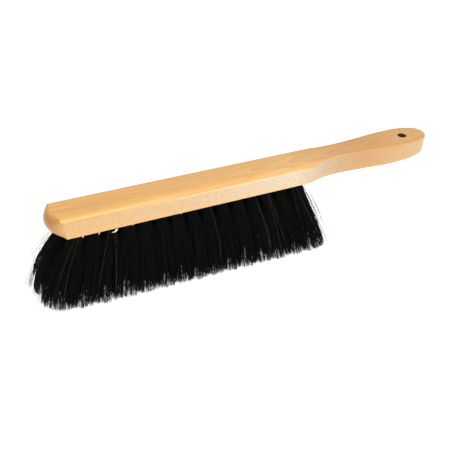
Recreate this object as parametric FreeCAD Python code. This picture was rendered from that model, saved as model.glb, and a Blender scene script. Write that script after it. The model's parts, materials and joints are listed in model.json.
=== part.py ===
import FreeCAD, Part
import math
import os

# A long horsehair hand brush. The wooden block and its paddle handle are one board, and the hair
# is set in three staggered rows of blind holes in the underside, each tuft held by a wire staple.
#
# The shapes are drawn from a line just behind the tip of the nose: +X runs along the brush towards
# the handle, +Y is the far side, and +Z is up with zero at the tips of the hair. Each shape is moved
# at the end so that X zero is the middle of the whole brush. Millimetres throughout.

# The board
BOARD_LENGTH = 343.5
BOARD_THICKNESS = 17.5
HEAD_HALF_WIDTH = 15.5
TOP_EDGE_RADIUS = 6.0
HAIR_TRIM = 60.0

# The nose: a bulging end that is cut slightly askew, so its near corner is further back than its
# far corner. NOSE_BULGE_X is its foremost point, ahead of X zero.
NOSE_NEAR_CORNER_X = 11.5
NOSE_FAR_CORNER_X = 5.0
NOSE_TOP_X = 8.6
NOSE_UNDERSIDE_X = 8.0
NOSE_BULGE_X = -1.6
NOSE_BULGE_HEIGHT = 10.0
NOSE_ROOT_X = 30.0
NOSE_SECTIONS = 7

# The handle: distance from the nose and half width at each station, from shoulder to tip
SHOULDER_X = 218.0
HANDLE_STATIONS = [
    (SHOULDER_X, HEAD_HALF_WIDTH),
    (223.0, 14.4),
    (229.0, 12.3),
    (237.0, 10.9),
    (248.0, 10.4),
    (262.0, 10.9),
    (278.0, 12.2),
    (293.0, 13.8),
    (308.0, 14.7),
    (321.0, 14.4),
    (333.0, 11.9),
    (340.0, 7.9),
]
ROUNDED_EDGE_END_X = 248.0
UNDERSIDE_RELIEF_START_X = 280.0
UNDERSIDE_RELIEF = 4.4
ARRIS_CHAMFER = 0.8

# The hang hole
HANG_HOLE_X = 320.0
HANG_HOLE_RADIUS = 3.75

# The hair: three rows, the middle one half a pitch off the others
TUFT_PITCH = 13.0
OUTER_ROW_COUNT = 15
MIDDLE_ROW_COUNT = OUTER_ROW_COUNT + 1
FIELD_MIDDLE_X = 112.5
OUTER_ROW_Y = 10.4
TUFT_HOLE_RADIUS = 3.2
TUFT_HOLE_DEPTH = 11.0

# How far the hair leans out by its tips. The outer rows fan out more towards the handle.
NOSE_END_SPREAD = 27.0
HANDLE_END_SPREAD = 18.0
SPREAD_POWER = 1.6
OUTER_TIP_Y_AT_NOSE = 18.5
OUTER_TIP_Y_AT_HANDLE = 23.0
TIP_HALF_DEPTH = 8.8
TIP_FILL = 0.97

# The staples: a wire crown across the fold of the tuft, with two legs driven up into the wood
WIRE_RADIUS = 0.5
STAPLE_LEG_SPACING = 3.4
STAPLE_BEND_RADIUS = 1.1
STAPLE_CROWN_HEIGHT = 7.5
STAPLE_LEG_BITE = 3.2

UNDERSIDE_Z = HAIR_TRIM
TOP_Z = UNDERSIDE_Z + BOARD_THICKNESS
CUT_MARGIN = 5.0


def vector(x, y, z):
    return FreeCAD.Vector(x, y, z)


def line(start, end):
    return Part.makeLine(start, end)


def row_positions(count):
    """Hole centres along the board for a row of this many tufts."""
    first = FIELD_MIDDLE_X - TUFT_PITCH * (count - 1) / 2.0
    return [first + TUFT_PITCH * index for index in range(count)]


def tip_x(root_x):
    """Where a tuft's tip is along the brush: the ends splay, the middle hangs straight."""
    reach = TUFT_PITCH * (MIDDLE_ROW_COUNT - 1) / 2.0
    share = (root_x - FIELD_MIDDLE_X) / reach
    end_spread = HANDLE_END_SPREAD if share > 0 else -NOSE_END_SPREAD
    return root_x + end_spread * abs(share) ** SPREAD_POWER


def tip_half_length(root_x):
    """Half the length of a tuft's tip along the brush, just clear of the next tuft in its row."""
    towards_middle = root_x - math.copysign(TUFT_PITCH, root_x - FIELD_MIDDLE_X)
    return TIP_FILL * abs(tip_x(root_x) - tip_x(towards_middle)) / 2.0


def outer_tip_y(root_x):
    """How far an outer row's tuft reaches from the middle plane by its tip."""
    positions = row_positions(OUTER_ROW_COUNT)
    share = (root_x - positions[0]) / (positions[-1] - positions[0])
    return OUTER_TIP_Y_AT_NOSE + (OUTER_TIP_Y_AT_HANDLE - OUTER_TIP_Y_AT_NOSE) * share


def brush_middle_x():
    """Middle of the whole brush, from the outermost hair tip to the end of the handle."""
    first_root = row_positions(MIDDLE_ROW_COUNT)[0]
    hair_end = tip_x(first_root) - tip_half_length(first_root)
    return (hair_end + BOARD_LENGTH) / 2.0


def make_nose():
    """The bulging end of the head: a stack of arcs from corner to corner, with a wedge behind.

    The wedge lies inside the board, so that the two join without touching end faces.
    """
    side_view = Part.Arc(
        vector(NOSE_UNDERSIDE_X, 0, UNDERSIDE_Z),
        vector(NOSE_BULGE_X, 0, UNDERSIDE_Z + NOSE_BULGE_HEIGHT),
        vector(NOSE_TOP_X, 0, TOP_Z),
    )
    sections = []
    for point in side_view.toShape().discretize(NOSE_SECTIONS):
        near_corner = vector(NOSE_NEAR_CORNER_X, -HEAD_HALF_WIDTH, point.z)
        far_corner = vector(NOSE_FAR_CORNER_X, HEAD_HALF_WIDTH, point.z)
        inside_board = vector(NOSE_ROOT_X, 0, point.z)
        front = Part.Arc(near_corner, vector(point.x, 0, point.z), far_corner).toShape()
        sections.append(Part.Wire([
            front,
            line(far_corner, inside_board),
            line(inside_board, near_corner),
        ]))
    return Part.makeLoft(sections, True)


def make_outline():
    """Plan outline of the board behind the nose."""
    near_side = [vector(x, -half_width, UNDERSIDE_Z) for x, half_width in HANDLE_STATIONS]
    far_side = [vector(x, half_width, UNDERSIDE_Z) for x, half_width in reversed(HANDLE_STATIONS)]
    tip = vector(BOARD_LENGTH, 0, UNDERSIDE_Z)
    handle = Part.BSplineCurve()
    handle.interpolate(near_side + [tip] + far_side)
    near_corner = vector(NOSE_NEAR_CORNER_X, -HEAD_HALF_WIDTH, UNDERSIDE_Z)
    far_corner = vector(NOSE_FAR_CORNER_X, HEAD_HALF_WIDTH, UNDERSIDE_Z)
    return Part.Wire([
        line(near_corner, near_side[0]),
        handle.toShape(),
        line(far_side[-1], far_corner),
        line(far_corner, near_corner),
    ])


def make_edge_cutter(side):
    """The waste outside one rounded top edge of the head. side is -1 for near, 1 for far."""
    length = ROUNDED_EDGE_END_X + CUT_MARGIN
    arc_centre_y = HEAD_HALF_WIDTH - TOP_EDGE_RADIUS
    corner = Part.makeBox(
        length,
        TOP_EDGE_RADIUS + CUT_MARGIN,
        TOP_EDGE_RADIUS + CUT_MARGIN,
        vector(-CUT_MARGIN, arc_centre_y, TOP_Z - TOP_EDGE_RADIUS),
    )
    rod = Part.makeCylinder(
        TOP_EDGE_RADIUS,
        length,
        vector(-CUT_MARGIN, arc_centre_y, TOP_Z - TOP_EDGE_RADIUS),
        vector(1, 0, 0),
    )
    cutter = corner.cut(rod)
    if side < 0:
        cutter = cutter.mirror(vector(0, 0, 0), vector(0, 1, 0))
    return cutter


def make_relief_cutter():
    """The shallow waste where the handle's underside rises towards its tip."""
    start_x = UNDERSIDE_RELIEF_START_X
    end_x = BOARD_LENGTH + CUT_MARGIN
    width = HEAD_HALF_WIDTH + CUT_MARGIN
    outside_z = UNDERSIDE_Z - CUT_MARGIN
    middle_z = UNDERSIDE_Z + UNDERSIDE_RELIEF / 4.0
    start = vector(start_x, -width, UNDERSIDE_Z)
    middle = vector((start_x + end_x) / 2.0, -width, middle_z)
    end = vector(end_x, -width, UNDERSIDE_Z + UNDERSIDE_RELIEF)
    outside_end = vector(end_x, -width, outside_z)
    outside_start = vector(start_x, -width, outside_z)
    profile = Part.Wire([
        Part.Arc(start, middle, end).toShape(),
        line(end, outside_end),
        line(outside_end, outside_start),
        line(outside_start, start),
    ])
    return Part.Face(profile).extrude(vector(0, 2 * width, 0))


def top_arrises(board):
    """The sharp edges that run round the handle on its top face, from shoulder to shoulder."""
    arrises = []
    for edge in board.Edges:
        box = edge.BoundBox
        on_handle = box.XMin > SHOULDER_X + 1.0
        on_top = box.ZMin > TOP_Z - ARRIS_CHAMFER
        along_edge = box.YLength > 0.1 and box.XLength > 1.0
        if on_handle and on_top and along_edge:
            arrises.append(edge)
    return arrises


def make_board():
    """The bare board, before the holes are drilled."""
    body = Part.Face(make_outline()).extrude(vector(0, 0, BOARD_THICKNESS))
    board = body.fuse(make_nose())
    wastes = [
        make_edge_cutter(-1),
        make_edge_cutter(1),
        make_relief_cutter(),
    ]
    for waste in wastes:
        board = board.cut(waste)
    board = board.removeSplitter()
    return board.makeChamfer(ARRIS_CHAMFER, top_arrises(board))


def make_staple(x, y):
    """One wire staple, its crown across the brush's length and its legs pointing up."""
    half = STAPLE_LEG_SPACING / 2.0
    bend = STAPLE_BEND_RADIUS
    crown_z = UNDERSIDE_Z + STAPLE_CROWN_HEIGHT
    leg_top_z = UNDERSIDE_Z + TUFT_HOLE_DEPTH + STAPLE_LEG_BITE
    mid_bend = bend * (1.0 - math.sqrt(0.5))
    left_top = vector(x - half, y, leg_top_z)
    left_bend_top = vector(x - half, y, crown_z + bend)
    left_bend_middle = vector(x - half + mid_bend, y, crown_z + mid_bend)
    left_bend_end = vector(x - half + bend, y, crown_z)
    right_bend_end = vector(x + half - bend, y, crown_z)
    right_bend_middle = vector(x + half - mid_bend, y, crown_z + mid_bend)
    right_bend_top = vector(x + half, y, crown_z + bend)
    right_top = vector(x + half, y, leg_top_z)
    path = Part.Wire([
        line(left_top, left_bend_top),
        Part.Arc(left_bend_top, left_bend_middle, left_bend_end).toShape(),
        line(left_bend_end, right_bend_end),
        Part.Arc(right_bend_end, right_bend_middle, right_bend_top).toShape(),
        line(right_bend_top, right_top),
    ])
    section = Part.Wire([Part.makeCircle(WIRE_RADIUS, left_top, vector(0, 0, 1))])
    return path.makePipeShell([section], True, False)


def make_tuft(root_x, root_y, side, staple):
    """One tuft: a round plug folded round its staple, then hair that spreads to a flat oval tip.

    side is -1 for the front row, 0 for the middle one and 1 for the rear one.
    """
    plug = Part.makeCylinder(TUFT_HOLE_RADIUS, TUFT_HOLE_DEPTH, vector(root_x, root_y, UNDERSIDE_Z))
    mouth = Part.makeCircle(TUFT_HOLE_RADIUS, vector(root_x, root_y, UNDERSIDE_Z))
    half_length = tip_half_length(root_x)
    longer = max(half_length, TIP_HALF_DEPTH)
    shorter = min(half_length, TIP_HALF_DEPTH)
    tip = Part.Ellipse(vector(0, 0, 0), longer, shorter).toShape()
    if TIP_HALF_DEPTH > half_length:
        tip.rotate(vector(0, 0, 0), vector(0, 0, 1), 90)
    tip.translate(vector(tip_x(root_x), side * outer_tip_y(root_x), 0))
    hair = Part.makeLoft([Part.Wire([mouth]), Part.Wire([tip])], True, True)
    return plug.fuse(hair).removeSplitter().cut(staple)


def export(name, shape, middle_x):
    moved = shape.copy()
    moved.translate(vector(-middle_x, 0, 0))
    moved.exportStep("parts/" + name + ".step")


def main():
    os.makedirs("parts", exist_ok=True)
    middle_x = brush_middle_x()
    rows = [
        ("front", OUTER_ROW_COUNT, -1),
        ("middle", MIDDLE_ROW_COUNT, 0),
        ("rear", OUTER_ROW_COUNT, 1),
    ]
    bored_out = [
        Part.makeCylinder(
            HANG_HOLE_RADIUS,
            BOARD_THICKNESS + 2 * CUT_MARGIN,
            vector(HANG_HOLE_X, 0, UNDERSIDE_Z - CUT_MARGIN),
        )
    ]
    for row_name, count, side in rows:
        root_y = side * OUTER_ROW_Y
        staples = []
        for number, root_x in enumerate(row_positions(count), start=1):
            staple = make_staple(root_x, root_y)
            tuft = make_tuft(root_x, root_y, side, staple)
            export("tuft_%s_%02d" % (row_name, number), tuft, middle_x)
            hole = Part.makeCylinder(
                TUFT_HOLE_RADIUS,
                TUFT_HOLE_DEPTH + CUT_MARGIN,
                vector(root_x, root_y, UNDERSIDE_Z - CUT_MARGIN),
            )
            bored_out += [hole, staple]
            staples.append(staple)
        export("staples_" + row_name, Part.makeCompound(staples), middle_x)
    board = make_board().cut(bored_out)
    export("handle_block", board, middle_x)


main()
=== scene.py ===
import json
import math

import bpy
import numpy as np
from mathutils import Matrix, Vector


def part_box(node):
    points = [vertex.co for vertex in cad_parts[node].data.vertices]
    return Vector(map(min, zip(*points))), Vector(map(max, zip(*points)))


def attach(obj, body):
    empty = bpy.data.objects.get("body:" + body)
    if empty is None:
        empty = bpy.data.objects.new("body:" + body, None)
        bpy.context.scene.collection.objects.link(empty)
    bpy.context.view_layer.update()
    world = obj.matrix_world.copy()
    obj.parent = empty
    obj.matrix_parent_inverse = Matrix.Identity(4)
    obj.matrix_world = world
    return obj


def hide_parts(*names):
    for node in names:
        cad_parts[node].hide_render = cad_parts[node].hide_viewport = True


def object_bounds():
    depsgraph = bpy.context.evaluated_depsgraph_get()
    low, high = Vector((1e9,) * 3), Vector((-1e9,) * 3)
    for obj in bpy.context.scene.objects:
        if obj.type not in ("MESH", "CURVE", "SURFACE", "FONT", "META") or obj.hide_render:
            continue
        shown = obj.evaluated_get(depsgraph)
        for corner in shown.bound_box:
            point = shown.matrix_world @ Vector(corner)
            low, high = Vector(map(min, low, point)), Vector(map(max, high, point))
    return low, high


# A horsehair hand brush with a one-piece lacquered wooden block and handle. The block and the
# staples are the CAD solids with better materials. Each CAD tuft is replaced by separate hairs.
#
# Metres throughout. X runs along the brush with the handle at +X, Y is the far side, and Z is up
# with zero at the tips of the hair.

MM = 0.001

# The camera's viewing angle, in degrees, and its lens
CAMERA_AZIMUTH = -23.39
CAMERA_ELEVATION = 36.99
CAMERA_ROLL = 0.79
CAMERA_DISTANCE = 0.5139
CAMERA_LENS = 48.53
AIM_FROM_MIDDLE = Vector((-19.3, -10.05, -5.75)) * MM

# The hair of one tuft
HAIRS_PER_TUFT = 860
HAIR_SIDES = 3
HAIR_POINTS = 7
HAIR_ROOT_RADIUS = 0.13 * MM
HAIR_TIP_RADIUS = 0.1 * MM
HAIR_TAPER_POWER = 2
ROOT_DEPTH_IN_HOLE = 2.5 * MM
ROOT_SPREAD_RADIUS = 3.0 * MM
ROOT_MIXING = 0.6

# The first and last parts of a CAD tuft that are measured: its plug in the hole, and its tips
PLUG_CLEARANCE = 0.5 * MM
TIP_LAYER = 0.5 * MM

# How a tuft leans and opens out on its way down. A power of one is a straight hair, and more
# bends it out sooner.
LEAN_POWER_AT_NOSE = 1.35
LEAN_POWER_AT_HANDLE = 0.95
OPEN_POWER_AT_NOSE = 2.3
OPEN_POWER_AT_HANDLE = 1.9
TIP_OVERLAP_ALONG = 1.75
TIP_OVERLAP_ACROSS = 1.35
NOSE_TIP_OVERLAP_ACROSS = 1.0
NOSE_TUFTS_SHARE = 0.15
EVEN_CROWDING = 0.5
RIM_CROWDING = 0.4
NOSE_END_TRIM = 4.0 * MM
END_SOFTNESS = 0.2

# The hair is worn shorter over this length at the nose, by this much for each metre
NOSE_WEAR_LENGTH = 25.0 * MM
NOSE_WEAR = 0.3

# How ragged the tips are
CLUMPS_PER_TUFT = 70
CLUMP_PULL = 0.4
CLUMP_HEIGHT = 0.7 * MM
TRIM_UNEVENNESS = 0.5 * MM
WAVE_SIZE = 0.7 * MM
WAVE_SIZE_RANGE = (0.2, 1.6)
WAVE_TURNS_RANGE = (0.6, 1.6)

# Stray hairs: their share of a tuft, and how far they stand out and up. The tufts within
# END_TUFTS_LENGTH of either end of the hair have more of them.
STRAY_SHARE = 0.02
END_STRAY_SHARE = 0.06
END_TUFTS_LENGTH = 10 * MM
STRAY_REACH = 6.0 * MM
STRAY_REACH_RANGE = (0.2, 1.0)
STRAY_USUAL_OUTWARD = 1.5
STRAY_LIFT = 9.0 * MM

# The few pale hairs that lie on the near side
PALE_HAIR_COUNT = 11
PALE_HAIR_SEED = 77
PALE_HAIR_RADIUS = 0.06 * MM
PALE_HAIR_SIDE_REACH = 0.7
PALE_HAIR_LOWEST_TIP = 1 * MM
PALE_HAIR_HIGHEST_TIP = 22 * MM

# Slivers of wood torn out of the near edge by the drill, each as its distance from the board's
# nose end, its length and its width in millimetres, and its curl in radians
TORN_SLIVERS = [
    (24.9, 2.0, 1.0, 0.5),
    (37.6, 2.4, 1.0, -0.8),
    (51.2, 5.6, 1.9, -1.8),
    (63.8, 1.3, 0.8, 0.4),
    (103.2, 1.2, 0.8, 0.5),
]
SLIVER_THICKNESS = 0.35 * MM
SLIVER_POINTS = 7
SLIVER_CORNERS = 4
SLIVER_TAPER = 0.85
SLIVER_STAND_OFF = 0.1 * MM
SLIVER_ROOT_IN_WOOD = 0.5 * MM

# The growth rings are cylinders about a line below the board's top face
PITH_DEPTH = 26 * MM
PITH_Y = -3 * MM
RING_SPACING = 1.2 * MM
RINGS_CLOSE_IN_FROM_X = -20 * MM
RINGS_CLOSE_IN = 6.5 * MM
RING_BEND = 2.0 * MM
RING_WAVER = 0.6 * MM

# The wood's colours, before the board's own change of tone
RING_PALE = (0.93, 0.535, 0.170)
RING_MIDDLE = (0.90, 0.500, 0.150)
RING_LATE = (0.83, 0.435, 0.118)
RING_DARK = (0.76, 0.375, 0.097)
WARM_TONE = (0.96, 0.59, 0.20, 1.0)
STREAK_COLOUR = (0.81, 0.40, 0.105, 1.0)
FIBRE_COLOUR = (0.69, 0.32, 0.085, 1.0)
RAY_COLOUR = (0.78, 0.66, 0.48, 1.0)
FLECK_COLOUR = (0.62, 0.29, 0.085, 1.0)
PORE_COLOUR = (0.46, 0.21, 0.06, 1.0)
END_GRAIN_COLOUR = (0.33, 0.103, 0.013, 1.0)
# Painted shade for the wall of the hang hole
HOLE_SHADE_COLOUR = (0.10, 0.04, 0.013, 1.0)

# The greyer side of the board, partly painted paler as a highlight, and the tone of the whole board,
# each as stops along it from the nose to the tip of the handle: (share of the length, red, green, blue)
SIDE_TONES_AND_SHEEN = [
    (0.0, 0.567, 0.375, 0.170),
    (0.3, 0.570, 0.430, 0.265),
    (0.46, 0.585, 0.520, 0.385),
    (0.6, 0.580, 0.540, 0.410),
    (0.72, 0.455, 0.375, 0.230),
    (0.81, 0.530, 0.345, 0.170),
    (0.9, 0.560, 0.395, 0.215),
]
BOARD_TONES = [
    (0.0, 0.93, 0.89, 0.74),
    (0.3, 0.92, 0.88, 0.78),
    (0.46, 0.92, 0.89, 0.87),
    (0.59, 0.92, 0.95, 1.0),
    (0.69, 0.83, 0.78, 0.75),
    (0.79, 0.79, 0.67, 0.54),
    (0.92, 0.85, 0.77, 0.63),
]
# The painted highlight on the sides fades to darker over this height above the underside
LOWER_EDGE_HEIGHT = 7 * MM
HOLE_WALL_RADIUS = 3.8 * MM
HOLE_RIM_RADIUS = 4.1 * MM

# The studio
FLOOR_HALF_SIZE = 6.0
FLOOR_DROP = 0.2 * MM
FLOOR_GLOW = 0.5
WORLD_STRENGTH = 0.74
LIGHT_DISTANCE = 0.55
KEY_TARGET_FROM_NOSE = 105 * MM
KEY_DIRECTION = (-0.10, -0.65, 0.75)
KEY_SIZE = (0.4, 0.4)
KEY_POWER = 1.2
STRIP_TARGET_FROM_NOSE = 165 * MM
STRIP_DIRECTION = (0.32, -0.92, 0.24)
STRIP_SIZE = (0.26, 0.14)
STRIP_POWER = 0.7


def hair_tubes(paths, root_radius, tip_radius, turns):
    """Closed tapering tubes along hair paths, as a list of vertices and a list of faces.

    paths is an array of hairs by points by three, from root to tip, and turns is each hair's own
    turn about its length.
    """
    hair_count, point_count, _ = paths.shape
    taper = np.linspace(0.0, 1.0, point_count) ** HAIR_TAPER_POWER
    radius = root_radius + (tip_radius - root_radius) * taper
    corner_angles = turns[:, None] + np.arange(HAIR_SIDES) * math.tau / HAIR_SIDES
    corners = np.stack(
        [np.cos(corner_angles), np.sin(corner_angles), np.zeros_like(corner_angles)], axis=-1
    )
    rings = paths[:, :, None, :] + radius[None, :, None, None] * corners[:, None, :, :]
    vertices = rings.reshape(-1, 3)

    faces = []
    for hair in range(hair_count):
        first = hair * point_count * HAIR_SIDES
        for ring in range(point_count - 1):
            lower = first + ring * HAIR_SIDES
            upper = lower + HAIR_SIDES
            for side in range(HAIR_SIDES):
                following = (side + 1) % HAIR_SIDES
                faces.append((lower + side, upper + side, upper + following, lower + following))
        last = first + (point_count - 1) * HAIR_SIDES
        faces.append(tuple(first + side for side in range(HAIR_SIDES)))
        faces.append(tuple(last + side for side in reversed(range(HAIR_SIDES))))
    return vertices.tolist(), faces


def make_piece(name, vertices, faces, material):
    """A smooth mesh object that rides on the brush."""
    mesh = bpy.data.meshes.new(name)
    mesh.from_pydata(vertices, [], faces)
    mesh.shade_smooth()
    mesh.materials.append(material)
    piece = bpy.data.objects.new(name, mesh)
    bpy.context.scene.collection.objects.link(piece)
    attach(piece, "root")
    return piece


def vertex_array(node):
    """The vertices of a CAD node, as an array of points."""
    mesh = frame["nodes"][node].data
    flat = np.zeros(len(mesh.vertices) * 3, np.float32)
    mesh.vertices.foreach_get("co", flat)
    return flat.reshape(-1, 3).astype(float)


def tuft_shape(node):
    """A tuft's hole centre, and the centre and half sizes of the oval that its tips fill."""
    points = vertex_array(node)
    plug = points[points[:, 2] > underside_z + PLUG_CLEARANCE]
    tips = points[points[:, 2] < TIP_LAYER]
    hole_centre = (plug.min(axis=0) + plug.max(axis=0))[:2] / 2
    tip_centre = (tips.min(axis=0) + tips.max(axis=0))[:2] / 2
    tip_half_size = (tips.max(axis=0) - tips.min(axis=0))[:2] / 2
    return hole_centre, tip_centre, tip_half_size


def disc_points(random, count, crowding=EVEN_CROWDING):
    """Points over a disc of radius one. A lower crowding than even puts more near the rim."""
    angle = random.uniform(0, math.tau, count)
    distance = random.uniform(0, 1, count) ** crowding
    return np.stack([distance * np.cos(angle), distance * np.sin(angle)], axis=-1)


def share_from_nose(hole_centre):
    """A hole's place along the brush, from zero at the first hole to one at the last."""
    return (hole_centre[0] - first_hole_x) / (last_hole_x - first_hole_x)


def hair_paths(random, shape, root_places, tips, tip_heights):
    """Curved paths from places in a tuft's hole to points at its tip.

    The hair leans with its tuft first, and opens out from the tuft's middle sooner than it leans.
    """
    hole_centre, tip_centre, _ = shape
    count = len(tips)
    from_nose = share_from_nose(hole_centre)
    lean_power = LEAN_POWER_AT_NOSE + (LEAN_POWER_AT_HANDLE - LEAN_POWER_AT_NOSE) * from_nose
    open_power = OPEN_POWER_AT_NOSE + (OPEN_POWER_AT_HANDLE - OPEN_POWER_AT_NOSE) * from_nose
    share = np.linspace(0.0, 1.0, HAIR_POINTS)
    leaning = (1.0 - (1.0 - share) ** lean_power)[None, :, None]
    opening = (1.0 - (1.0 - share) ** open_power)[None, :, None]
    root_offset = (root_places * ROOT_SPREAD_RADIUS)[:, None, :]
    tip_offset = (tips - tip_centre)[:, None, :]
    middle_line = hole_centre + (tip_centre - hole_centre) * leaning
    offset = root_offset + (tip_offset - root_offset) * opening

    along = share[None, :, None]
    wave_phase = random.uniform(0, math.tau, (count, 1, 2))
    wave_turns = random.uniform(*WAVE_TURNS_RANGE, (count, 1, 2))
    wave_size = WAVE_SIZE * random.uniform(*WAVE_SIZE_RANGE, (count, 1, 2))
    wave = wave_size * along * np.sin(wave_phase + wave_turns * along * math.tau)

    root_z = underside_z + ROOT_DEPTH_IN_HOLE
    height = root_z + (tip_heights[:, None] - root_z) * share[None, :]
    return np.concatenate([middle_line + offset + wave, height[:, :, None]], axis=-1)


def overlap_across(hole_centre):
    """How far a tuft's tips overfill its oval across the brush: least at the nose."""
    share = min(share_from_nose(hole_centre) / NOSE_TUFTS_SHARE, 1.0)
    return NOSE_TIP_OVERLAP_ACROSS + (TIP_OVERLAP_ACROSS - NOSE_TIP_OVERLAP_ACROSS) * share


def keep_within_ends(tips):
    """Draws back the tips that would pass the ends of the brush's hair."""
    low = hair_low_x + NOSE_END_TRIM
    x = tips[:, 0]
    x = np.where(x < low, low + (x - low) * END_SOFTNESS, x)
    x = np.where(x > hair_high_x, hair_high_x + (x - hair_high_x) * END_SOFTNESS, x)
    tips[:, 0] = x


def make_tuft_hair(node, seed, stray_share, material):
    """The separate hairs of one tuft, clumped and unevenly trimmed at their tips."""
    random = np.random.default_rng(seed)
    shape = tuft_shape(node)
    hole_centre, tip_centre, tip_half_size = shape
    tip_places = disc_points(random, HAIRS_PER_TUFT, RIM_CROWDING)
    other_places = disc_points(random, HAIRS_PER_TUFT)
    root_places = tip_places + (other_places - tip_places) * ROOT_MIXING

    clump_places = disc_points(random, CLUMPS_PER_TUFT, RIM_CROWDING)
    clump_heights = np.abs(random.normal(0, CLUMP_HEIGHT, CLUMPS_PER_TUFT))
    gaps = tip_places[:, None, :] - clump_places[None, :, :]
    nearest = np.argmin((gaps**2).sum(axis=-1), axis=1)
    tip_places += (clump_places[nearest] - tip_places) * CLUMP_PULL
    unevenness = np.abs(random.normal(0, TRIM_UNEVENNESS, HAIRS_PER_TUFT))
    tip_heights = clump_heights[nearest] + unevenness

    overlap = np.array([TIP_OVERLAP_ALONG, overlap_across(hole_centre)])
    tips = tip_centre + tip_places * tip_half_size * overlap
    keep_within_ends(tips)
    tip_heights += NOSE_WEAR * np.maximum(hair_low_x + NOSE_WEAR_LENGTH - tips[:, 0], 0.0)
    strays = random.uniform(0, 1, HAIRS_PER_TUFT) < stray_share
    reach = STRAY_REACH * random.uniform(*STRAY_REACH_RANGE, HAIRS_PER_TUFT)
    lean = (tip_centre - hole_centre) / max(np.linalg.norm(tip_centre - hole_centre), MM)
    outward = tip_places + lean
    tips[strays] += outward[strays] * reach[strays, None] / STRAY_USUAL_OUTWARD
    tip_heights[strays] += random.uniform(0, STRAY_LIFT, strays.sum())

    paths = hair_paths(random, shape, root_places, tips, tip_heights)
    turns = random.uniform(0, math.tau, HAIRS_PER_TUFT)
    vertices, faces = hair_tubes(paths, HAIR_ROOT_RADIUS, HAIR_TIP_RADIUS, turns)
    name = node.replace("tuft", "hair")
    piece = make_piece(name, vertices, faces, material)
    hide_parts(node)


def make_pale_hairs(nodes, material):
    """A few pale hairs on the near side of the front row."""
    random = np.random.default_rng(PALE_HAIR_SEED)
    all_paths = []
    for _ in range(PALE_HAIR_COUNT):
        shape = tuft_shape(nodes[random.integers(len(nodes))])
        _, tip_centre, tip_half_size = shape
        side_place = random.uniform(-PALE_HAIR_SIDE_REACH, PALE_HAIR_SIDE_REACH)
        near_place = np.array([[side_place, -math.sqrt(1.0 - side_place**2)]])
        tips = tip_centre + near_place * tip_half_size * overlap_across(shape[0])
        tip_height = random.uniform(PALE_HAIR_LOWEST_TIP, PALE_HAIR_HIGHEST_TIP, 1)
        all_paths.append(hair_paths(random, shape, near_place, tips, tip_height))
    paths = np.concatenate(all_paths)
    turns = random.uniform(0, math.tau, len(paths))
    vertices, faces = hair_tubes(paths, PALE_HAIR_RADIUS, HAIR_TIP_RADIUS, turns)
    make_piece("pale_hairs", vertices, faces, material)


def make_torn_slivers(material):
    """Thin curled slivers that hang from the near edge of the underside."""
    vertices = []
    faces = []
    share = np.linspace(0.0, 1.0, SLIVER_POINTS)
    for from_nose, length, width, curl in TORN_SLIVERS:
        x = board_low.x + from_nose * MM
        y = board_low.y - SLIVER_STAND_OFF
        angle = curl * share
        step = length * MM / (SLIVER_POINTS - 1)
        spine_x = x + np.cumsum(np.sin(angle)) * step
        spine_z = underside_z + SLIVER_ROOT_IN_WOOD - np.cumsum(np.cos(angle)) * step
        half_width = width * MM / 2 * (1.0 - SLIVER_TAPER * share**2)
        first = len(vertices)
        for index in range(SLIVER_POINTS):
            across = Vector((math.cos(angle[index]), 0.0, math.sin(angle[index])))
            centre = Vector((spine_x[index], y, spine_z[index]))
            outward = Vector((0.0, -SLIVER_THICKNESS / 2, 0.0))
            side = across * half_width[index]
            vertices += [centre - side, centre + outward, centre + side, centre - outward]
        for index in range(SLIVER_POINTS - 1):
            ring = first + index * SLIVER_CORNERS
            next_ring = ring + SLIVER_CORNERS
            for corner in range(SLIVER_CORNERS):
                following = (corner + 1) % SLIVER_CORNERS
                faces.append((ring + corner, ring + following, next_ring + following, next_ring + corner))
        last = first + (SLIVER_POINTS - 1) * SLIVER_CORNERS
        faces.append(tuple(first + corner for corner in reversed(range(SLIVER_CORNERS))))
        faces.append(tuple(last + corner for corner in range(SLIVER_CORNERS)))
    make_piece("torn_wood_slivers", vertices, faces, material)


def new_material(name):
    """An empty node material with its principled shader, as (material, tree, shader)."""
    material = bpy.data.materials.new(name)
    material.use_nodes = True
    tree = material.node_tree
    return material, tree, tree.nodes["Principled BSDF"]


def add(tree, kind, inputs, **settings):
    """A node with its settings made and its inputs either linked or set."""
    node = tree.nodes.new("ShaderNode" + kind)
    for name, value in settings.items():
        setattr(node, name, value)
    for name, value in inputs.items():
        if isinstance(value, bpy.types.NodeSocket):
            tree.links.new(value, node.inputs[name])
        else:
            node.inputs[name].default_value = value
    return node


def math_node(tree, operation, first, second=0.0):
    return add(tree, "Math", {0: first, 1: second}, operation=operation).outputs[0]


def stretched_noise(tree, position, scale, detail=3.0, roughness=0.5):
    """Noise with its own scale along each axis, in patches per metre."""
    stretched = add(tree, "VectorMath", {0: position, 1: scale}, operation="MULTIPLY")
    noise = add(
        tree,
        "TexNoise",
        {"Vector": stretched.outputs[0], "Scale": 1.0, "Detail": detail, "Roughness": roughness},
    )
    return noise.outputs["Fac"]


def ramp(tree, factor, stops):
    """A colour ramp. stops are (position, red, green, blue)."""
    node = add(tree, "ValToRGB", {"Fac": factor})
    elements = node.color_ramp.elements
    while len(elements) < len(stops):
        elements.new(0.5)
    for element, (position, red, green, blue) in zip(elements, stops):
        element.position = position
        element.color = (red, green, blue, 1.0)
    return node.outputs["Color"]


def fade(tree, factor, low, high, start=0.0, end=1.0):
    """Maps factor from low..high to start..end, held at both ends."""
    node = add(
        tree,
        "MapRange",
        {"Value": factor, "From Min": low, "From Max": high, "To Min": start, "To Max": end},
        clamp=True,
    )
    return node.outputs["Result"]


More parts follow.
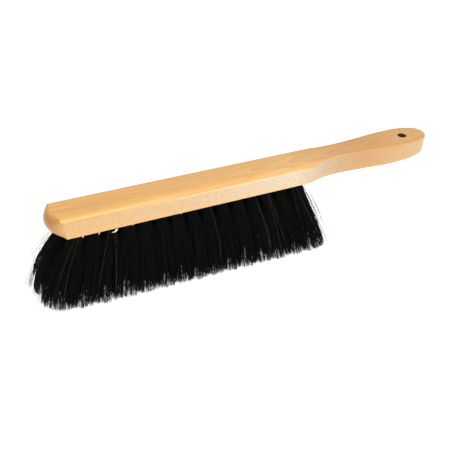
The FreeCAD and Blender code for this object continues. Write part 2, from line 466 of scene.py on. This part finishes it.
def mix(tree, factor, first, second, blend="MIX"):
    node = add(tree, "Mix", {}, data_type="RGBA", blend_type=blend)
    for socket, value in ((0, factor), (6, first), (7, second)):
        if isinstance(value, bpy.types.NodeSocket):
            tree.links.new(value, node.inputs[socket])
        else:
            node.inputs[socket].default_value = value
    return node.outputs[2]


def growth_rings(tree, position):
    """The colour of the growth rings: straight down the head, and arched from the neck on.

    Beyond the neck the rings close in, so that the top face cuts them as long arches that point
    at the nose.
    """
    x, y, z = add(tree, "SeparateXYZ", {0: position}).outputs
    from_pith_y = math_node(tree, "SUBTRACT", y, PITH_Y)
    from_pith_z = math_node(tree, "SUBTRACT", z, top_z - PITH_DEPTH)
    across = add(tree, "CombineXYZ", {"Y": from_pith_y, "Z": from_pith_z}).outputs[0]
    distance = add(tree, "VectorMath", {0: across}, operation="LENGTH").outputs["Value"]
    slow_noise = stretched_noise(tree, position, (4, 22, 22))
    bend = math_node(tree, "MULTIPLY", slow_noise, RING_BEND)
    quick_noise = stretched_noise(tree, position, (28, 120, 120))
    waver = math_node(tree, "MULTIPLY", quick_noise, RING_WAVER)
    taper = fade(tree, x, RINGS_CLOSE_IN_FROM_X, board_high.x, 0.0, -RINGS_CLOSE_IN)
    bent = math_node(tree, "ADD", math_node(tree, "ADD", distance, bend), waver)
    ring_place = math_node(tree, "DIVIDE", math_node(tree, "ADD", bent, taper), RING_SPACING)
    ring = math_node(tree, "FRACT", ring_place)
    return ramp(
        tree,
        ring,
        [
            (0.0, *RING_PALE),
            (0.55, *RING_MIDDLE),
            (0.86, *RING_LATE),
            (0.95, *RING_DARK),
            (1.0, *RING_PALE),
        ],
    )


def wood_fibres(tree, position, colour, fibre):
    """Slow changes of tone, long streaks and fine fibres, all along the grain."""
    tone = stretched_noise(tree, position, (7, 70, 70))
    toned = mix(tree, fade(tree, tone, 0.38, 0.66, 0.0, 0.5), colour, WARM_TONE)
    streak = stretched_noise(tree, position, (9, 420, 420), detail=2.0)
    streak_shows = fade(tree, streak, 0.45, 0.7, 0.0, 0.45)
    streaked = mix(tree, streak_shows, toned, STREAK_COLOUR)
    return mix(tree, fade(tree, fibre, 0.38, 0.7, 0.0, 0.35), streaked, FIBRE_COLOUR)


def ray_flecks(tree, position, colour, side_facing, along_board):
    """The quarter-sawn sides are greyer, with fine shining rays and short dark flecks, and they are
    painted paler as a highlight.

    The painted highlight makes them palest in the middle of the board, and painted shade makes them
    darker again at their lower edge.
    """
    # Painted highlight: the side colours are the greyer wood plus a pale painted sheen
    side_tone_and_sheen = ramp(tree, along_board, SIDE_TONES_AND_SHEEN)
    _, _, z = add(tree, "SeparateXYZ", {0: position}).outputs
    # Painted shade: the painted sheen fades to darker towards the underside
    sheen_above_lower_edge = fade(tree, z, underside_z, underside_z + LOWER_EDGE_HEIGHT, 0.45, 0.78)
    paleness = math_node(tree, "MULTIPLY", side_facing, sheen_above_lower_edge)
    pale = mix(tree, paleness, colour, side_tone_and_sheen)
    ray = stretched_noise(tree, position, (620, 2200, 2200), detail=1.0)
    ray_shows = math_node(tree, "MULTIPLY", fade(tree, ray, 0.54, 0.70, 0.0, 0.4), side_facing)
    rayed = mix(tree, ray_shows, pale, RAY_COLOUR)
    fleck = stretched_noise(tree, position, (420, 1100, 1100), detail=1.0)
    fleck_shows = math_node(tree, "MULTIPLY", fade(tree, fleck, 0.5, 0.66, 0.0, 0.5), side_facing)
    flecked = mix(tree, fleck_shows, rayed, FLECK_COLOUR)
    pore = stretched_noise(tree, position, (260, 1700, 1700), detail=1.0)
    return mix(tree, fade(tree, pore, 0.64, 0.78, 0.0, 0.45), flecked, PORE_COLOUR)


def make_wood(name, hole_centre):
    """Clear-lacquered maple: flat-sawn figure on top, rays on the sides, dark end grain."""
    material, tree, shader = new_material(name)
    position = add(tree, "TexCoord", {}).outputs["Object"]
    x, y, _ = add(tree, "SeparateXYZ", {0: position}).outputs
    normal = add(tree, "NewGeometry", {}).outputs["Normal"]
    normal_x, normal_y, _ = add(tree, "SeparateXYZ", {0: normal}).outputs
    end_facing = fade(tree, math_node(tree, "ABSOLUTE", normal_x), 0.25, 0.8)
    side_facing = fade(tree, math_node(tree, "ABSOLUTE", normal_y), 0.72, 0.96)
    fibre = stretched_noise(tree, position, (45, 1100, 1100), detail=4.0, roughness=0.6)
    fibred = wood_fibres(tree, position, growth_rings(tree, position), fibre)
    along_board = fade(tree, x, board_low.x, board_high.x)
    flecked = ray_flecks(tree, position, fibred, side_facing, along_board)

    # End grain takes up more lacquer and is darker
    end_shows = math_node(tree, "MULTIPLY", end_facing, 0.8)
    ended = mix(tree, end_shows, flecked, END_GRAIN_COLOUR)

    # The board is more orange towards the nose, palest before the neck and darkest at the grip
    board_tone = ramp(tree, along_board, BOARD_TONES)
    board_tinted = mix(tree, 1.0, ended, board_tone, blend="MULTIPLY")

    # Painted shade: the wall of the hang hole is painted dark
    flat_position = add(tree, "CombineXYZ", {"X": x, "Y": y}).outputs[0]
    hole_point = (hole_centre[0], hole_centre[1], 0.0)
    from_hole = add(tree, "VectorMath", {0: flat_position, 1: hole_point}, operation="DISTANCE")
    from_axis = from_hole.outputs["Value"]
    in_hole = fade(tree, from_axis, HOLE_WALL_RADIUS, HOLE_RIM_RADIUS, 1.0, 0.0)
    colour = mix(tree, in_hole, board_tinted, HOLE_SHADE_COLOUR)

    tree.links.new(colour, shader.inputs["Base Color"])
    tree.links.new(fade(tree, fibre, 0.3, 0.7, 0.38, 0.52), shader.inputs["Roughness"])
    shader.inputs["Specular IOR Level"].default_value = 0.25
    shader.inputs["Coat Weight"].default_value = 1.0
    shader.inputs["Coat Roughness"].default_value = 0.17
    bump = add(tree, "Bump", {"Height": fibre, "Strength": 0.3, "Distance": 0.05 * MM})
    tree.links.new(bump.outputs[0], shader.inputs["Normal"])
    return material


def make_torn_wood(name):
    """Raw wood fibres, paler than the lacquered surface."""
    material, tree, shader = new_material(name)
    position = add(tree, "TexCoord", {}).outputs["Object"]
    strand = stretched_noise(tree, position, (2500, 2500, 300))
    colour = ramp(tree, strand, [(0.3, 0.86, 0.72, 0.52), (0.7, 0.97, 0.90, 0.76)])
    tree.links.new(colour, shader.inputs["Base Color"])
    tree.links.new(fade(tree, strand, 0.3, 0.7, 0.6, 0.85), shader.inputs["Roughness"])
    return material


def make_hair_material(name, dark, light):
    """Horsehair: each hair a slightly different shade, with a dull sheen."""
    material, tree, shader = new_material(name)
    position = add(tree, "TexCoord", {}).outputs["Object"]
    strand = stretched_noise(tree, position, (900, 900, 25), detail=2.0)
    colour = ramp(tree, strand, [(0.35, *dark), (0.75, *light)])
    tree.links.new(colour, shader.inputs["Base Color"])
    tree.links.new(fade(tree, strand, 0.3, 0.7, 0.42, 0.62), shader.inputs["Roughness"])
    shader.inputs["Specular IOR Level"].default_value = 0.04
    return material


def make_wire_material(name):
    """Drawn steel wire."""
    material, tree, shader = new_material(name)
    position = add(tree, "TexCoord", {}).outputs["Object"]
    draw_marks = stretched_noise(tree, position, (400, 5000, 5000), detail=2.0)
    colour = ramp(tree, draw_marks, [(0.3, 0.34, 0.34, 0.33), (0.7, 0.52, 0.52, 0.50)])
    tree.links.new(colour, shader.inputs["Base Color"])
    tree.links.new(fade(tree, draw_marks, 0.3, 0.7, 0.25, 0.45), shader.inputs["Roughness"])
    shader.inputs["Metallic"].default_value = 1.0
    return material


def use_material(node, material):
    """Gives a CAD node's every slot this material."""
    for slot in frame["nodes"][node].material_slots:
        slot.material = material


def make_floor():
    """A wide white floor that glows a little, so that shadows on it stay pale."""
    material, tree, shader = new_material("floor_white")
    position = add(tree, "TexCoord", {}).outputs["Object"]
    grain = stretched_noise(tree, position, (3, 3, 3))
    colour = ramp(tree, grain, [(0.3, 0.86, 0.86, 0.86), (0.7, 0.90, 0.90, 0.90)])
    tree.links.new(colour, shader.inputs["Base Color"])
    shader.inputs["Roughness"].default_value = 0.9
    shader.inputs["Specular IOR Level"].default_value = 0.0
    shader.inputs["Emission Color"].default_value = (1.0, 1.0, 1.0, 1.0)
    shader.inputs["Emission Strength"].default_value = FLOOR_GLOW
    half = FLOOR_HALF_SIZE
    mesh = bpy.data.meshes.new("floor")
    corners = [(-half, -half, 0), (half, -half, 0), (half, half, 0), (-half, half, 0)]
    mesh.from_pydata(corners, [], [(0, 1, 2, 3)])
    mesh.materials.append(material)
    floor = bpy.data.objects.new("floor", mesh)
    floor.location.z = -FLOOR_DROP
    bpy.context.scene.collection.objects.link(floor)


def make_area_light(name, target, direction, size, power):
    """A soft rectangular light of that length and height, shining on the target."""
    light = bpy.data.lights.new(name, "AREA")
    light.shape = "RECTANGLE"
    light.size, light.size_y = size
    light.energy = power
    lamp = bpy.data.objects.new(name, light)
    towards = Vector(direction).normalized()
    lamp.location = target + towards * LIGHT_DISTANCE
    lamp.rotation_euler = towards.to_track_quat("Z", "Y").to_euler()
    bpy.context.scene.collection.objects.link(lamp)


def light_the_studio():
    """White surroundings, a soft key light over the head, and a strip that shines along it."""
    world = bpy.data.worlds.new("studio")
    bpy.context.scene.world = world
    world.use_nodes = True
    background = world.node_tree.nodes["Background"]
    background.inputs["Color"].default_value = (1.0, 1.0, 1.0, 1.0)
    background.inputs["Strength"].default_value = WORLD_STRENGTH
    head_middle = Vector((board_low.x + KEY_TARGET_FROM_NOSE, 0.0, top_z))
    near_edge = Vector((board_low.x + STRIP_TARGET_FROM_NOSE, board_low.y, top_z))
    make_area_light("key_light", head_middle, KEY_DIRECTION, KEY_SIZE, KEY_POWER)
    make_area_light("strip_light", near_edge, STRIP_DIRECTION, STRIP_SIZE, STRIP_POWER)


def make_camera():
    """The camera, placed by its angles about a point near the middle of the brush."""
    azimuth = math.radians(CAMERA_AZIMUTH)
    elevation = math.radians(CAMERA_ELEVATION)
    roll = math.radians(CAMERA_ROLL)
    back = Vector((
        math.sin(azimuth) * math.cos(elevation),
        -math.cos(azimuth) * math.cos(elevation),
        math.sin(elevation),
    ))
    level_right = Vector((math.cos(azimuth), math.sin(azimuth), 0.0))
    level_up = back.cross(level_right)
    right = level_right * math.cos(roll) + level_up * math.sin(roll)
    up = level_up * math.cos(roll) - level_right * math.sin(roll)
    data = bpy.data.cameras.new("camera")
    data.lens = CAMERA_LENS
    data.sensor_width = 36.0
    data.clip_start = 0.01
    camera = bpy.data.objects.new("camera", data)
    turned = Matrix((right, up, back)).transposed().to_4x4()
    place = middle + AIM_FROM_MIDDLE + back * CAMERA_DISTANCE
    camera.matrix_world = Matrix.Translation(place) @ turned
    bpy.context.scene.collection.objects.link(camera)
    bpy.context.scene.camera = camera


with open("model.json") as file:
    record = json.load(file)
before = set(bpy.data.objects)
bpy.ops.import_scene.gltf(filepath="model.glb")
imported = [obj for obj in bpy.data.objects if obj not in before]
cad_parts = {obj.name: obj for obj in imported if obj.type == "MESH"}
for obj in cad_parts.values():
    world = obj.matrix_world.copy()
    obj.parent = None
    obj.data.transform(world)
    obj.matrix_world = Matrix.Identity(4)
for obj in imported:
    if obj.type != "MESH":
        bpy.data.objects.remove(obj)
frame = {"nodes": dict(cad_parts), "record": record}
cad_low, cad_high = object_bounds()
middle = (cad_low + cad_high) / 2
board_low, board_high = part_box("handle_block")
underside_z = board_low.z
top_z = board_high.z

hang_hole = next(m for m in frame["record"]["mounts"] if m["name"] == "hang_hole")
wood = make_wood("lacquered_maple_wood", hang_hole["pos_m"])
black_hair = make_hair_material(
    "horsehair_black", (0.0042, 0.0041, 0.004), (0.0095, 0.0091, 0.0087)
)
pale_hair = make_hair_material("horsehair_pale", (0.06, 0.055, 0.05), (0.18, 0.165, 0.15))
wire = make_wire_material("drawn_steel_wire")
torn_wood = make_torn_wood("torn_maple")

use_material("handle_block", wood)
for row in ("front", "middle", "rear"):
    use_material("staples_" + row, wire)

tufts = sorted(node for node in frame["nodes"] if node.startswith("tuft_"))
shapes = [tuft_shape(node) for node in tufts]
hair_low_x = min(centre[0] - half_size[0] for _, centre, half_size in shapes)
hair_high_x = max(centre[0] + half_size[0] for _, centre, half_size in shapes)
first_hole_x = min(hole[0] for hole, _, _ in shapes)
last_hole_x = max(hole[0] for hole, _, _ in shapes)
for seed, node in enumerate(tufts):
    hole_x = shapes[seed][0][0]
    from_end = min(hole_x - first_hole_x, last_hole_x - hole_x)
    stray_share = END_STRAY_SHARE if from_end < END_TUFTS_LENGTH else STRAY_SHARE
    make_tuft_hair(node, seed, stray_share, black_hair)
make_pale_hairs([node for node in tufts if "front" in node], pale_hair)
make_torn_slivers(torn_wood)

make_floor()
light_the_studio()
make_camera()
bpy.context.scene.view_settings.view_transform = "Standard"
